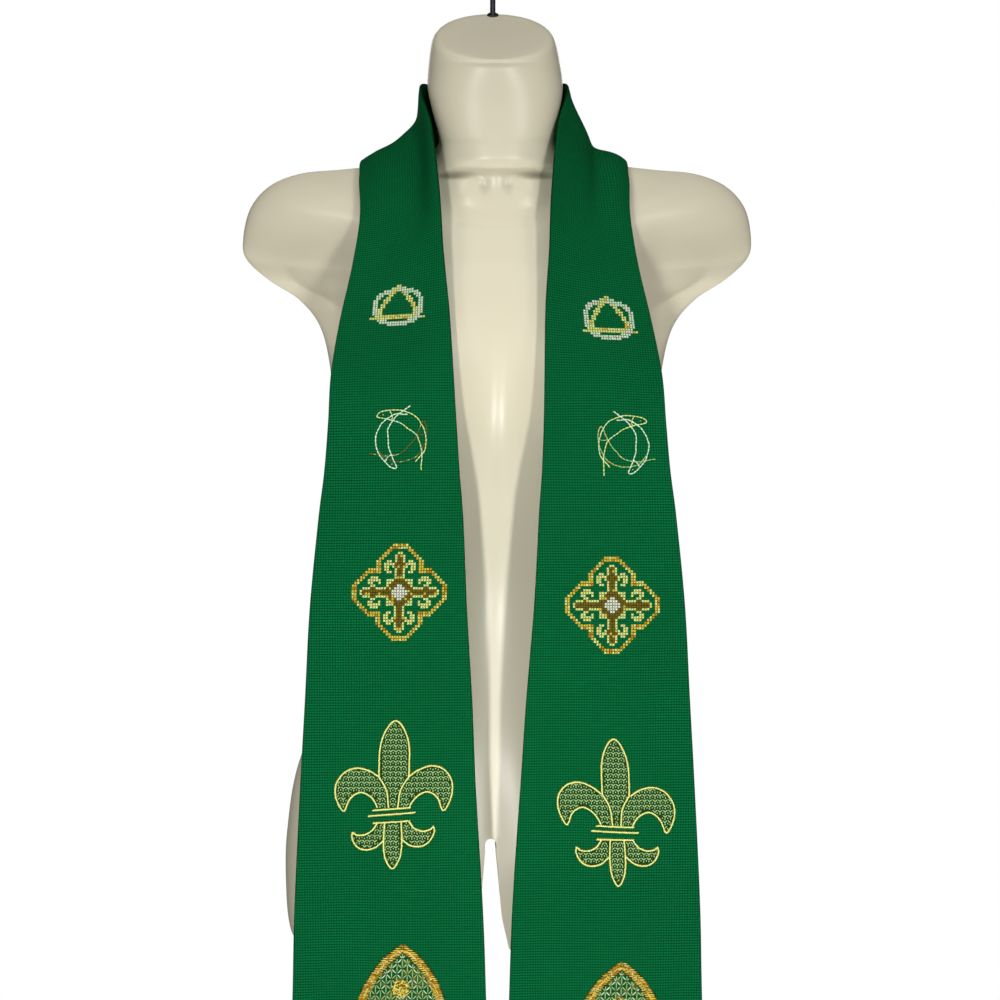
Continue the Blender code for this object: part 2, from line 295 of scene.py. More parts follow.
def placeGroup(tree, which, values):
    node = tree.nodes.new("ShaderNodeGroup")
    node.node_tree = groups[which]
    fill(tree, node, values)
    return node.outputs


def placeMottle(tree, amount):
    return placeGroup(tree, "mottle", {"Place": readPlace(tree), "Amount": amount})


def shadeColor(tree, color, factor):
    # a colour times a number that changes over the surface
    node = tree.nodes.new("ShaderNodeVectorMath")
    node.operation = "SCALE"
    fill(tree, node, {0: color, "Scale": factor})
    return node.outputs[0]


def blendColors(tree, low, high, factor):
    # low + (high - low) factor, where the factor may pass 1
    node = tree.nodes.new("ShaderNodeMix")
    node.data_type = "RGBA"
    node.clamp_factor = False
    fill(tree, node, {0: factor, 6: (*low, 1.0), 7: (*high, 1.0)})
    return node.outputs[2]


def raised(tree, height, distance):
    # the normal of a surface that stands up by the height, a distance in metres where it is 1
    node = tree.nodes.new("ShaderNodeBump")
    fill(tree, node, {"Height": height, "Distance": distance})
    return node.outputs["Normal"]


def greenAida():
    # the colour runs from low, the painted shade of the weave's hollows, to high, its painted lit crowns
    low, high = (0.0, 0.02, 0.001), (0.002, 0.158, 0.046)
    glow = (0.1, 0.8, 0.4)
    made, tree, shader = newMaterial("greenAida", high, 0.85, specular=0.04, sheen=0.01, sheenColor=glow)
    uv = readUv(tree)
    weave = placeGroup(tree, "weave", {"Blocks": uv, "Thread Depth": 0.4, "Hole Depth": 0.9})
    mottle = placeMottle(tree, 0.16)
    stretched = tree.nodes.new("ShaderNodeMapping")
    fill(tree, stretched, {"Vector": uv, "Scale": (0.12, 4.0, 1.0)})
    slub = rescale(tree, addNoise(tree, stretched.outputs[0], 1.0, 1.0), 0.3, 0.7, 0.93, 1.07)
    # painted shade: dark on the wall at the band's edges
    paintedEdgeShade = rescale(tree, readAttribute(tree, "rim"), 0.0, 1.0, 1.0, 0.15)
    factor = product(tree, weave["Shade"], mottle["Shade"], slub, paintedEdgeShade)
    color = blendColors(tree, low, high, factor)
    fill(tree, shader, {"Base Color": color, "Normal": raised(tree, weave["Height"], 0.0004)})
    return made


def floss(name, color):
    made, tree, shader = newMaterial(name, color, 0.5, specular=0.2, sheen=0.02, sheenColor=(1.0, 0.9, 0.4))
    twist = placeGroup(tree, "twist", {"Along": readUv(tree), "Lay": 2.2})
    patches = rescale(tree, addNoise(tree, readPlace(tree), 700.0, 1.0), 0.3, 0.7, 0.84, 1.16)
    # painted shade: the colour darkens in the hollows between the twisted strands
    strands = rescale(tree, twist["Height"], 0.0, 1.0, 0.8, 1.04)
    # painted shade: a stitch's share of its height, 0 where it goes through the cloth and 1 at its crest,
    # darkens its ends, and lifts its crest a little as a painted highlight
    tuck = rescale(tree, readAttribute(tree, "tuck"), 0.18, 0.85, 0.05, 1.1)
    factor = calculate(tree, "MINIMUM", product(tree, patches, strands, tuck), 1.08)
    normal = raised(tree, twist["Height"], 0.00012)
    fill(tree, shader, {"Base Color": shadeColor(tree, color, factor), "Normal": normal})
    return made


def ivoryPlastic():
    color = (0.83, 0.768, 0.578)
    made, tree, shader = newMaterial("ivoryPlastic", color, 0.33)
    mottle = placeMottle(tree, 0.02)
    # painted shade: the plastic is darkened in the moulded lines and small dips of the chest, by a weight
    # made with the form
    paintedDarkening = rescale(tree, readAttribute(tree, "groove"), 0.1, 1.0, 1.0, 0.45)
    values = {
        "Base Color": shadeColor(tree, color, product(tree, mottle["Shade"], paintedDarkening)),
        "Roughness": rescale(tree, mottle["Mask"], 0.3, 0.7, 0.32, 0.35),
        "Normal": raised(tree, addNoise(tree, readPlace(tree), 900.0, 2.0), 0.00001),
    }
    fill(tree, shader, values)
    return made


def darkSteel():
    color = (0.055, 0.055, 0.06)
    made, tree, shader = newMaterial("darkSteel", color, 0.32, metallic=1.0)
    mottle = placeMottle(tree, 0.3)
    roughness = rescale(tree, mottle["Mask"], 0.3, 0.7, 0.25, 0.45)
    fill(tree, shader, {"Base Color": shadeColor(tree, color, mottle["Shade"]), "Roughness": roughness})
    return made


def paleFloor():
    color = (0.7, 0.7, 0.69)
    made, tree, shader = newMaterial("paleFloor", color, 0.75, specular=0.2)
    fill(tree, shader, {"Base Color": shadeColor(tree, color, placeMottle(tree, 0.01)["Shade"])})
    return made


flossColors = {
    "white": (0.95, 0.97, 0.80),
    "gold": (0.86, 0.64, 0.07),
    "copper": (0.60, 0.31, 0.01),
    "brown": (0.23, 0.145, 0.004),
    "yellow": (0.90, 0.98, 0.32),
    "mint": (0.42, 0.69, 0.27),
    "pale": (0.74, 1.0, 0.68),
    "sand": (0.95, 0.74, 0.24),
    # a near-black green thread, laid as painted shade between and under the bright stitches
    "moss": (0.012, 0.05, 0.001),
}
clothMaterial, plasticMaterial, steelMaterial = greenAida(), ivoryPlastic(), darkSteel()
threads = {name: floss(name + "Floss", color) for name, color in flossColors.items()}
threadNames = list(threads)
print("materials ready")


# The drape of the stole, one half from the centre back to its hem

stole = {
    "wall": 1.6,
    "seamGap": 0.4,
    "halfLength": 1270.0,
    "slide": 6.0,  # the seam lies this far round to the viewer's right
    "swing": 4.5,  # the right band's inner edge swings out between two drops
    "swingDrops": (190.0, 660.0),
    "block": (1.814, 1.868),  # one woven block across and down, fourteen to the inch
    "rounding": 0.9,  # the wall closes within this much of its rim
    "ridge": 0.22,  # the turned-in edge stands this much proud
    "ridgeIn": 4.5,
    "ridgeWidth": 3.0,
    "fineStep": 2.3,
    "coarseStep": 3.4,
    "coarseFrom": 340.0,
    "endMargin": 6.0,  # the even rows start this far from the ends
    "columns": 44,
}
# rows of corners beside an end and beside a long edge, by their distance from it
endRows = (0.0, 0.12, 0.4, 0.9, 2.0, 4.0)
edgeRows = (0.0, 0.12, 0.4, 0.9, 2.0, 3.6, 5.6, 8.0)

# inner edge out, y and drop, then the outer edge's, then the sag between them
drapeRows = (
    (0, 43, 108, 0, 64, 179, 0),
    (34.5, 30, 107.5, 57.5, 59.5, 172.5, 6),
    (53, -5, 107, 93, 28.5, 160, 10),
    (44.5, -34.5, 137, 97.5, -2.5, 173.5, 8),
    (39, -61, 184, 96.5, -40.5, 202.5, 7),
    (36.5, -81, 227, 101.5, -65, 239, 4),
    (32.5, -99, 269, 109, -87, 276, 2),
    (30, -118, 310, 114.5, -111, 313, -1),
    (28, -130, 345, 116, -127, 346, -2),
    (26, -135, 378, 118.5, -134, 379, -2),
    (23.5, -137, 411, 122.5, -137, 411, -1.5),
    (21, -137.5, 473, 128.8, -138, 473, 0),
    (17.5, -137.5, 536, 132.5, -138, 536, 0),
    (15, -137, 598, 136.3, -137.5, 598, 0),
    (10.2, -136.5, 682, 140.8, -137, 682, 0),
    (8, -136, 745, 142.6, -136.5, 745, 0),
    (5.5, -135.5, 850, 146, -136, 850, 0),
    (4.5, -135, 1000, 149.5, -135, 1000, 0),
    (4.5, -135, 1180, 151.5, -135, 1180, 0),
    (4.5, -135, 1360, 152.5, -135, 1360, 0),
)

# start and end along the cloth, place across at either end (0 inner, 1 outer), half-width, height
folds = {
    -1: (
        (95, 230, 0.08, 0.12, 9, 2),
        (40, 215, 0.32, 0.36, 12, -4.5),
        (50, 190, 0.84, 0.80, 12, 3.5),
        (330, 760, 0.34, 0.42, 26, 1.8),
        (520, 1290, 0.72, 0.66, 30, -2.6),
        (760, 1290, 0.28, 0.24, 30, 3),
    ),
    1: (
        (50, 250, 0.36, 0.30, 22, 3.5),
        (60, 205, 0.70, 0.66, 9, -3.5),
        (60, 215, 0.88, 0.84, 10, 4),
        (380, 820, 0.62, 0.54, 28, 2),
        (560, 1290, 0.30, 0.36, 30, -2.4),
        (800, 1290, 0.74, 0.70, 30, 2.8),
    ),
}
# soft unevenness: wave numbers along and across the cloth per mm, phase, height
ripples = (
    (0.021, 0.052, 0.4, 0.30),
    (0.034, -0.041, 1.9, 0.22),
    (0.047, 0.083, 3.1, 0.14),
    (0.013, 0.017, 5.0, 0.35),
)

drapeFine = splineThrough(drapeRows, np.linspace(0, len(drapeRows) - 1, 900))
drapeAlong = runLength((drapeFine[:, 0:3] + drapeFine[:, 3:6]) / 2)


def edgesAt(along, side):
    # the two edges at a distance along the cloth; side is 1 on the viewer's right and -1 on the left
    read = pointsOf(*(np.interp(np.abs(along), drapeAlong, column) for column in drapeFine[:, :6].T))
    hand = np.where(along < 0, -side, side)
    inner, outer = read[..., :3], read[..., 3:]
    if side > 0:
        # a squared half sine between the two drops, fuller towards the upper one
        low, high = stole["swingDrops"]
        t = np.clip((inner[..., 2] - low) / (high - low), 0.0, 1.0)
        inner[..., 0] += stole["swing"] * np.sin(math.pi * t) ** 2 * (1.3 - 0.6 * t)
    for edge in (inner, outer):
        edge[..., 0] *= hand
        edge[..., 2] *= -1
    return inner, outer


def bandWidth(along, side):
    inner, outer = edgesAt(along, side)
    return np.linalg.norm(outer - inner, axis=-1)


def foldLift(along, across, width, side):
    # each fold is a bell across the cloth times a half sine along it; ripples are sines of both
    lift = np.zeros(np.broadcast(along, across).shape)
    aside = side * (across - 0.5) * width
    for start, end, placeStart, placeEnd, halfWidth, height in folds[side]:
        t = np.clip((along - start) / (end - start), 0.0, 1.0)
        reach = (across - placeStart - (placeEnd - placeStart) * t) * width / halfWidth
        lift = lift + height * np.sin(math.pi * t) ** 0.8 * np.exp(-(reach**2))
    for alongWave, acrossWave, phase, height in ripples:
        lift = lift + height * np.sin(along * alongWave + aside * acrossWave * 2 + phase + side)
    return lift


def flatPoint(along, across, side):
    # a point on the straight line between the edges
    inner, outer = edgesAt(along, side)
    return inner + (outer - inner) * across[..., None]


def clothPoint(along, across, side):
    # the same point pushed out by the folds and in by the sag, 4 sag across (1 - across)
    inner, outer = edgesAt(along, side)
    width = np.linalg.norm(outer - inner, axis=-1)
    slope = flatPoint(along + 2.0, across, side) - flatPoint(along - 2.0, across, side)
    outward = unit(side * np.cross(slope, outer - inner))
    sag = np.interp(np.abs(along), drapeAlong, drapeFine[:, 6])
    lift = foldLift(along, across, width, side) - 4 * sag * across * (1 - across)
    return flatPoint(along, across, side) + outward * lift[..., None]


def clothFrame(along, across, side):
    # the middle surface and its outward direction, from points a little way along and across
    down = clothPoint(along + 1.0, across, side) - clothPoint(along - 1.0, across, side)
    wide = clothPoint(along, across + 0.01, side) - clothPoint(along, across - 0.01, side)
    return clothPoint(along, across, side), unit(side * np.cross(down, wide))


def onCloth(x, down, height, side):
    # a point over the cloth's face, x to the viewer's right of the band's middle
    across = 0.5 + side * x / bandWidth(down, side)
    point, outward = clothFrame(down, across, side)
    return point + outward * (stole["wall"] / 2 + height)[..., None], outward


def roundWall(front, back):
    # once round the wall: over the front, then home along the back
    return np.concatenate([front, back[:, -2:0:-1]], axis=1)


def stoleHalf(name, side):
    # two faces half a wall either side of the middle surface, drawn in to nothing by a quarter circle at
    # the edges, the seam and the hem
    start = stole["seamGap"] / 2 + side * stole["slide"]
    end = stole["halfLength"] + side * stole["slide"]
    first, change, last = start + stole["endMargin"], stole["coarseFrom"], end - stole["endMargin"]
    close, edge, inset = np.array(endRows), np.array(edgeRows)[None, :], edgeRows[-1]
    fine = np.arange(first, change, stole["fineStep"])
    coarse = np.linspace(change, last, round((last - change) / stole["coarseStep"]))
    along = np.concatenate([start + close, fine, coarse, end - close[::-1]])[:, None]
    width = bandWidth(along[:, 0], side)[:, None]
    inside = np.linspace(0, 1, stole["columns"] - 2 * edge.size + 2)[None, 1:-1]
    inside = (inset + inside * (width - 2 * inset)) / width
    across = np.concatenate([edge / width, inside, 1 - edge[:, ::-1] / width], axis=1)
    fromEdge = np.minimum(across, 1 - across) * width
    fromEnd = np.minimum(along - start, end - along)
    rounded = quarterCircle(fromEdge / stole["rounding"]) * quarterCircle(fromEnd / stole["rounding"])
    ridge = stole["ridge"] * np.exp(-(((fromEdge - stole["ridgeIn"]) / stole["ridgeWidth"]) ** 2))
    middle, outward = clothFrame(np.broadcast_to(along, across.shape), across, side)
    half = outward * (rounded * (stole["wall"] / 2 + ridge))[..., None]
    points = roundWall(middle + half, middle - half)
    u = side * (across - 0.5) * width / stole["block"][0]
    uv = pointsOf(u, np.broadcast_to(-along / stole["block"][1], u.shape))
    faces = loftFaces(*points.shape[:2])[:, ::-side]  # the right half's rings run the other way round
    # painted shade: 1 on the wall within the rounding of an edge, where the cloth colour is darkened
    rim = 1 - smoothStep(fromEdge, 0.0, stole["rounding"])
    values = {"rim": roundWall(rim, rim)}
    made = makeMesh(name, points, faces, [clothMaterial], uv=roundWall(uv, uv), values=values)
    # the two faces meet in one line at the seam and at the hem
    shape = bmesh.new()
    shape.from_mesh(made.data)
    bmesh.ops.remove_doubles(shape, verts=shape.verts, dist=1e-6)
    shape.to_mesh(made.data)
    shape.free()
    return made


stoleHalves = {side: stoleHalf(name, side) for name, side in (("stoleLeft", -1), ("stoleRight", 1))}
print("stole halves made")


# Torso form

form = {
    "sides": 176,
    "ringsPerRow": 14,
    "neckFoot": 155.0,
    "napeSquareness": 2.1,  # the back of the neck is rounder
    "bustOut": 72.0,
    "bustDrop": 338.0,
    "bustHeight": 47.0,
    "bustWidth": 46.0,
    "bustRise": 60.0,
    "bustFall": 42.0,
    "armBack": 54.0,  # the arms stand this much behind the chest
    "armOut": (72.0, 120.0),
    "armDrops": (166.0, 252.0, 285.0, 335.0),
    "armGain": 1.3,  # the step back is whole before the surface faces straight forwards
    "reliefFacing": (0.2, 0.7),  # the relief fades out between these as the surface turns away
    "sharpAngle": 50.0,
}

# drop of the ring's sides, half-width, front, back, dip, rise, sweep, squareness, shift to the right
formRows = (
    (70.9, 24, 35, 15, 26, 26, 0, 2, 0),
    (71.4, 37, 49, 28, 26, 26, 0, 2.1, 0),
    (73.4, 42.5, 54, 33, 25, 25, 0, 2.1, 0),
    (78.8, 45.3, 54, 35.5, 24, 24, 0, 2.3, 0),
    (92.3, 47.8, 51.5, 37.5, 22, 22, 0, 2.7, 0.5),
    (106.4, 49, 49, 38, 19, 19, 0, 2.9, 1),
    (123.7, 46.2, 46.4, 37.5, 14, 14, 0, 3.1, 1.5),
    (140, 43, 44, 38, 9, 9, 0, 3.1, 2),
    (150, 43.2, 42.6, 39, 5, 5, 1, 2.8, 2.5),
    (157.5, 52, 40, 42, 14, 3, 4, 2.2, 3),
    (162, 74, 39, 44, 22, 1, 9, 1.75, 3.5),
    (165, 98, 41, 47, 28, 0, 13, 1.7, 4),
    (166.8, 117, 42.5, 49, 29, 0, 17, 1.75, 4),
    (169.5, 146, 45, 52, 29, 0, 20, 1.85, 4),
    (178.5, 169, 49.5, 56, 25, 0, 22, 2, 4),
    (195, 183.5, 56, 61, 20, 0, 22, 2.1, 4),
    (218, 188.5, 63, 66, 13, 0, 21, 2.7, 3.5),
    (231, 185, 68, 68, 9, 0, 19, 3.2, 3),
    (247, 168, 73, 70, 5, 0, 15, 3.4, 3),
    (262, 146, 77, 72, 2, 0, 11, 3.1, 3),
    (282, 130, 82, 74, 0, 0, 7, 2.5, 2.5),
    (312, 122, 86, 74, 0, 0, 5, 2.25, 2),
    (352, 118, 88, 70, 0, 0, 3, 2.3, 1),
    (410, 107, 84, 60, 0, 0, 0, 2.2, 0),
    (475, 99, 78, 53, 0, 0, 0, 2.2, -1),
    (535, 107, 84, 57, 0, 0, 0, 2.2, -2),
    (598, 139.5, 95, 73, 0, 0, 0, 2.2, -3),
    (655, 150, 100, 84, 0, 0, 0, 2.3, -3.5),
    (700, 150.5, 98, 85, 0, 0, 0, 2.3, -4),
    (726, 148, 95, 82, 0, 0, 0, 2.3, -4),
    (734, 143, 90, 77, 0, 0, 0, 2.3, -4),
    (737, 133, 81, 68, 0, 0, 0, 2.3, -4),
)
# rises (+) and hollows (-) on the front: x, drop, half-width, half-height, rise, and the weight of painted
# shade in it
frontRelief = (
    (0, 94.5, 30, 2.6, 1.2, 0),
    (0, 168, 46, 3.4, 4, 0),
    (-33, 173, 15, 2.4, -4, 1),
    (28, 173, 15, 2.4, -4, 1),
    (-11, 181, 4.5, 7.5, -1.8, 0.42),
    (6, 180, 4.5, 7.5, -1.8, 0.42),
    (-26, 185, 13, 10, 3.4, 0),
    (22.5, 185, 13, 10, 3.4, 0),
    (0, 470, 5, 70, -1.2, 0),
    (-2, 640, 16, 60, -5, 0),
)

# the gap between the thighs
notch = {"topDrop": 643.0, "topRadius": 4.0, "aside": -4.0, "reach": 200.0}
# drop and half-width of its sides
notchRows = ((653, 4), (700, 8), (722, 13), (733, 22), (745, 45))


def formPoints():
    # each ring is a superellipse |x/a|^n + |y/b|^n = 1 set back at its sides, its front falling and its
    # back climbing at a slope; the bust is a bell on each side, the arms step back from the chest in smooth
    # steps, and each small hollow is a bell
    rows = len(formRows)
    read = splineThrough(formRows, np.linspace(0, rows - 1, (rows - 1) * form["ringsPerRow"] + 1))
    drop, half, front, back, dip, rise, sweep, square, aside = (column[:, None] for column in read.T)
    angle = circle(form["sides"])[None, :]
    square = np.where((drop < form["neckFoot"]) & (np.sin(angle) > 0), form["napeSquareness"], square)
    across, depth = (np.sign(way) * np.abs(way) ** (2 / square) for way in (np.cos(angle), np.sin(angle)))
    x = half * across
    middle = (back - front) / 2
    y = middle + depth * (back + front) / 2 + sweep * across**2
    behind = y - middle - sweep
    z = -drop + np.tan(np.radians(np.where(behind < 0, dip, rise))) * behind
    facing = np.clip(-depth, 0.0, 1.0)
    spread = np.where(drop < form["bustDrop"], form["bustRise"], form["bustFall"])
    aboutX, aboutDrop = (np.abs(x) - form["bustOut"]) / form["bustWidth"], (drop - form["bustDrop"]) / spread
    y = y - form["bustHeight"] * np.exp(-(aboutX**2 + aboutDrop**2)) * facing
    start, full, hold, end = form["armDrops"]
    step = smoothStep(drop, start, full) * (1 - smoothStep(drop, hold, end))
    step = step * smoothStep(np.abs(x), *form["armOut"])
    y = y + form["armBack"] * step * np.clip(form["armGain"] * facing, 0.0, 1.0)
    # painted shade: a weight, greatest in the grooves and dips, for darkening the plastic there
    groove, fade = np.zeros(y.shape), smoothStep(facing, *form["reliefFacing"])
    for at, level, wide, tall, height, paintedDarkening in frontRelief:
        bell = np.exp(-(((x - at) / wide) ** 2) - ((-z - level) / tall) ** 2) * fade
        y = y - height * bell
        groove = np.maximum(groove, paintedDarkening * bell)
    return pointsOf(x + aside, y, z), groove


def notchCutter():
    # a rounded top that flares slowly, then quickly at the bottom edge, carried from front to back
    drops, halfWidths = np.array(notchRows).T
    arc = np.radians(np.arange(0, 181, 15))
    x = np.concatenate([halfWidths[::-1], notch["topRadius"] * np.cos(arc), -halfWidths]) + notch["aside"]
    top = notch["topDrop"] + notch["topRadius"] * (1 - np.sin(arc))
    drop = np.concatenate([drops[::-1], top, drops])
    ends = [pointsOf(x, np.full(len(x), y), -drop) for y in (-notch["reach"], notch["reach"])]
    count = len(x)
    walls = [(i, i + count, (i + 1) % count + count, (i + 1) % count) for i in range(count)]
    faces = [tuple(range(count)), tuple(range(2 * count - 1, count - 1, -1)), *walls]
    mesh = bpy.data.meshes.new("notchCutter")
    mesh.from_pydata((np.concatenate(ends) * mm).tolist(), [], faces)
    return addObject("notchCutter", mesh)


def torsoForm():
    rings, groove = formPoints()
    faces = tubeFaces(*rings.shape[:2])
    made = makeMesh("torsoShell", rings, faces, [plasticMaterial], values={"groove": groove})
    cutter = notchCutter()
    boolean = made.modifiers.new("thighNotch", "BOOLEAN")
    boolean.operation = "DIFFERENCE"
    boolean.object = cutter
    bpy.context.view_layer.update()
    shaped = bpy.data.meshes.new_from_object(made.evaluated_get(bpy.context.evaluated_depsgraph_get()))
    made.modifiers.clear()
    made.data = shaped
    bpy.data.objects.remove(cutter, do_unlink=True)
    shaped.shade_smooth()
    shaped.set_sharp_from_angle(angle=math.radians(form["sharpAngle"]))
    return made


torso = torsoForm()
print("torso form made")


# Hook

hook = {
    "wire": 2.0,
    "rest": 24.0,
    "tipRun": 8.0,
    "foot": 70.0,
    "sides": 20,
    "steps": (10, 49, 6),  # points along the stem, the bend and the tip
    "ringDrop": 53.6,
    "ringSides": 32,
    "capSlope": 26.0,
}
# the round end of the tip, in wire radii: how far past the tip, how wide
tipRows = ((0.0, 1.0), (0.39, 0.92), (0.71, 0.7), (0.94, 0.35))
# the seat ring's outline: radius, height
ringRows = ((2.2, -3), (3.6, -3), (4.2, -2.2), (4.3, 0.2), (4, 0.9), (3.2, 1.3), (2.4, 1.5), (2.05, 1.2))


def hookWire():
    # a tube along the stem behind the origin, half a circle over it, and a short straight tip with a round
    # end; its rings stand square to that path, whose x direction stays across it
    wire, rest, run = hook["wire"], hook["rest"], hook["tipRun"]
    bend = rest + wire
    stemSteps, bendSteps, tipSteps = hook["steps"]
    past, thin = np.array(tipRows).T
    stem = np.linspace(-hook["foot"], -rest, stemSteps)
    arc = np.linspace(0, math.pi, bendSteps)[1:]
    tip = np.concatenate([np.linspace(0.0, run, tipSteps)[1:-1], run + past * wire])
    y = np.concatenate([np.full(len(stem), bend), bend * np.cos(arc), np.full(len(tip), -bend)])
    z = np.concatenate([stem, bend * np.sin(arc) - rest, -rest - tip])
    path = pointsOf(np.zeros(len(y)), y, z)
    radii = wire * np.concatenate([np.ones(len(y) - len(thin)), thin])
    aside = np.broadcast_to(np.array([1.0, 0.0, 0.0]), path.shape)
    up = np.cross(aside, unit(np.gradient(path, axis=0)))
    angle = circle(hook["sides"])[None, :, None]
    around = np.cos(angle) * aside[:, None] + np.sin(angle) * up[:, None]
    rings = path[:, None] + radii[:, None, None] * around
    return makeMesh("hookWire", rings, tubeFaces(*rings.shape[:2]), [steelMaterial])


def seatRing():
    # a small turned collar where the stem enters the cap, tipped to the cap's slope
    out, up = np.array(ringRows).T[..., None]
    angle = circle(hook["ringSides"])[None, :]
    x, y = out * np.cos(angle), out * np.sin(angle)
    z = up + math.tan(math.radians(hook["capSlope"])) * y - hook["ringDrop"]
    points = pointsOf(x, y + hook["rest"] + hook["wire"], z)
    faces = tubeFaces(*points.shape[:2])[:, ::-1]
    return makeMesh("seatRing", points, faces, [steelMaterial])


hookPieces = [hookWire(), seatRing()]
print("hook made")


# Needlework: every stitch is a short tube that dips under the cloth's face at its ends

needlework = {
    "crossHalf": 0.46,  # half of a cross stitch, in blocks
    "crossRadius": 0.42,
    "crossRise": (0.45, 0.85),
    "crossWander": (0.035, 0.03, 0.04),  # unevenness of its place, its legs and its height
    "lineWander": 0.1,
    "ropeWander": 0.05,
    "shadeRise": 0.04,
    "shadeSink": 0.02,
    "sides": 6,
    "flatten": 0.75,
    "sink": 0.12,
    "seed": 5,
}
chance = np.random.default_rng(needlework["seed"])
block = np.array(stole["block"])


def pickThreads(count, **shares):
    # thread numbers drawn by share, as a variegated floss falls
    weights = np.array(list(shares.values()), float)
    return chance.choice([threadNames.index(name) for name in shares], count, p=weights / weights.sum())


def stitches(starts, ends, radius, rise, colors, points=4, sink=needlework["sink"]):
    # straight from start to end, thickest in the middle, the height a half sine to the power 0.6 that starts
    # a little below the face
    t = np.linspace(0, 1, points)
    arch = np.sin(math.pi * t)
    rise, radius = (np.broadcast_to(value, len(starts))[:, None] for value in (rise, radius))
    path = starts[:, None] + (ends - starts)[:, None] * t[None, :, None]
    return path, (rise + sink) * arch**0.6 - sink, radius * (0.7 + 0.3 * arch), colors


def tubes(path, outward, radius):
    # rings square to each path, flattened against the cloth; the seam of the ring lies underneath
    along = unit(np.gradient(path, axis=1))
    aside = unit(np.cross(along, outward))
    up = np.cross(aside, along)
    angle = (circle(needlework["sides"]) - math.pi / 2)[:, None]
    wide = np.cos(angle) * aside[:, :, None]
    tall = np.sin(angle) * up[:, :, None] * needlework["flatten"]
    rings = path[:, :, None] + radius[:, :, None, None] * (wide + tall)
    count, points, sides = rings.shape[:3]
    single = tubeFaces(points, sides)
    faces = single[None] + (np.arange(count) * points * sides)[:, None, None]
    turned = np.broadcast_to(np.arange(sides) / sides, rings.shape[:3])
    run = np.broadcast_to(runLength(path)[:, :, None], rings.shape[:3])
    uv = pointsOf(turned, run)
    return rings.reshape(-1, 3), faces.reshape(-1, 4), uv.reshape(-1, 2), len(single)


def workMotif(name, side, place, sets, slope=0.0, shear=0.0, tall=1.0):
    # lays sets of stitches, drawn with x right and y up about the motif's middle, on the cloth's face; the
    # slope lifts one side of a motif, the shear leans its top over
    x0, down0 = np.round(np.array(place) / block) * block
    sides, sink = needlework["sides"], needlework["sink"]
    made, first = [], 0
    for path, height, radius, colors in sets:
        x, y = path[..., 0], path[..., 1]
        onFace, outward = onCloth(x0 + x + shear * y, down0 - tall * y - slope * x, height, side)
        points, faces, uv, each = tubes(onFace, outward, radius)
        # the share of each stitch's height, which the floss turns into painted shade at the ends
        tuck = np.clip((height + sink) / (height.max(axis=1, keepdims=True) + sink), 0.0, 1.0)
        made.append((points, faces + first, uv, np.repeat(colors, each), np.repeat(tuck.ravel(), sides)))
        first += len(points)
    points, faces, uv, slots, tuck = (np.concatenate(part) for part in zip(*made))
    return makeMesh(name, points, faces, list(threads.values()), uv=uv, slots=slots, values={"tuck": tuck})


def crossStitches(x, y, picked, **shares):
    # two legs over each picked block, the second on top, with the small unevenness of handwork
    cells = pointsOf(x, y)[picked]
    colors = pickThreads(len(cells), **shares)
    shift, turn, lift = needlework["crossWander"]
    centre = cells * block + chance.normal(0, shift, cells.shape)
    made = []
    for lean, rise in zip((-1, 1), needlework["crossRise"]):
        reach = needlework["crossHalf"] * block * [1, lean] + chance.normal(0, turn, cells.shape)
        height = rise + chance.normal(0, lift, len(cells))
        made.append(stitches(centre - reach, centre + reach, needlework["crossRadius"], height, colors, 5))
    return made


def shadeStitches(starts, ends, radius, **shares):
    # dark stitches that lie nearly level under the others, laid as painted shade in the gaps
    colors = pickThreads(len(starts), **shares)
    return stitches(starts, ends, radius, needlework["shadeRise"], colors, 3, needlework["shadeSink"])


def evenPoints(rows, spacing, fineness=60):
    # points at even distances on the smooth curve through a few rows
    fine = splineThrough(rows, np.linspace(0, len(rows) - 1, fineness * len(rows)))
    run = runLength(fine)
    at = np.linspace(0, run[-1], max(2, round(run[-1] / spacing) + 1))
    return pointsOf(*(np.interp(at, run, column) for column in fine.T))


def lineStitches(path, colors, radius, rise, sink):
    # back stitch: one stitch from each point of the path to the next
    path = path + chance.normal(0, needlework["lineWander"], path.shape)
    return stitches(path[:-1], path[1:], radius, rise, colors[: len(path) - 1], sink=sink)


def ropeStitches(path, colors, length, lean, radius, rise):
    # stem stitch: each stitch is longer than its step and leans across the line
    middle = (path[:-1] + path[1:]) / 2 + chance.normal(0, needlework["ropeWander"], (len(path) - 1, 2))
    along = unit(path[1:] - path[:-1])
    aside = pointsOf(-along[:, 1], along[:, 0])
    reach = along * length / 2 + aside * lean
    return stitches(middle - reach, middle + reach, radius, rise, colors[: len(middle)])


def grid(across, down):
    # every pair of two rows of numbers, as two long rows
    return (part.ravel() for part in np.meshgrid(across, down))


def blockGrid(reach):
    # the middles of the blocks within so many blocks of a motif's middle
    at = np.arange(-reach + 0.5, reach)
    return grid(at, at)


# Three in one: a pointed arch on a base, woven through a ring

trinity = {
    "places": {-1: (1.5, 262.0), 1: (7.7, 270.0)},
    "slopes": {-1: -0.055, 1: 0.05},
    "talls": {-1: 0.97, 1: 1.07},
    "archHalf": 7.6,
    "archTop": 7.9,
    "archFall": 13.7,
    "archPower": 1.9,
    "ring": (9.0, 7.25, 2.6),
    "ringDrop": 0.65,
}
# the base's two rows of blocks: height, half-width
baseRows = ((-4.5, 9.0), (-5.5, 10.6))


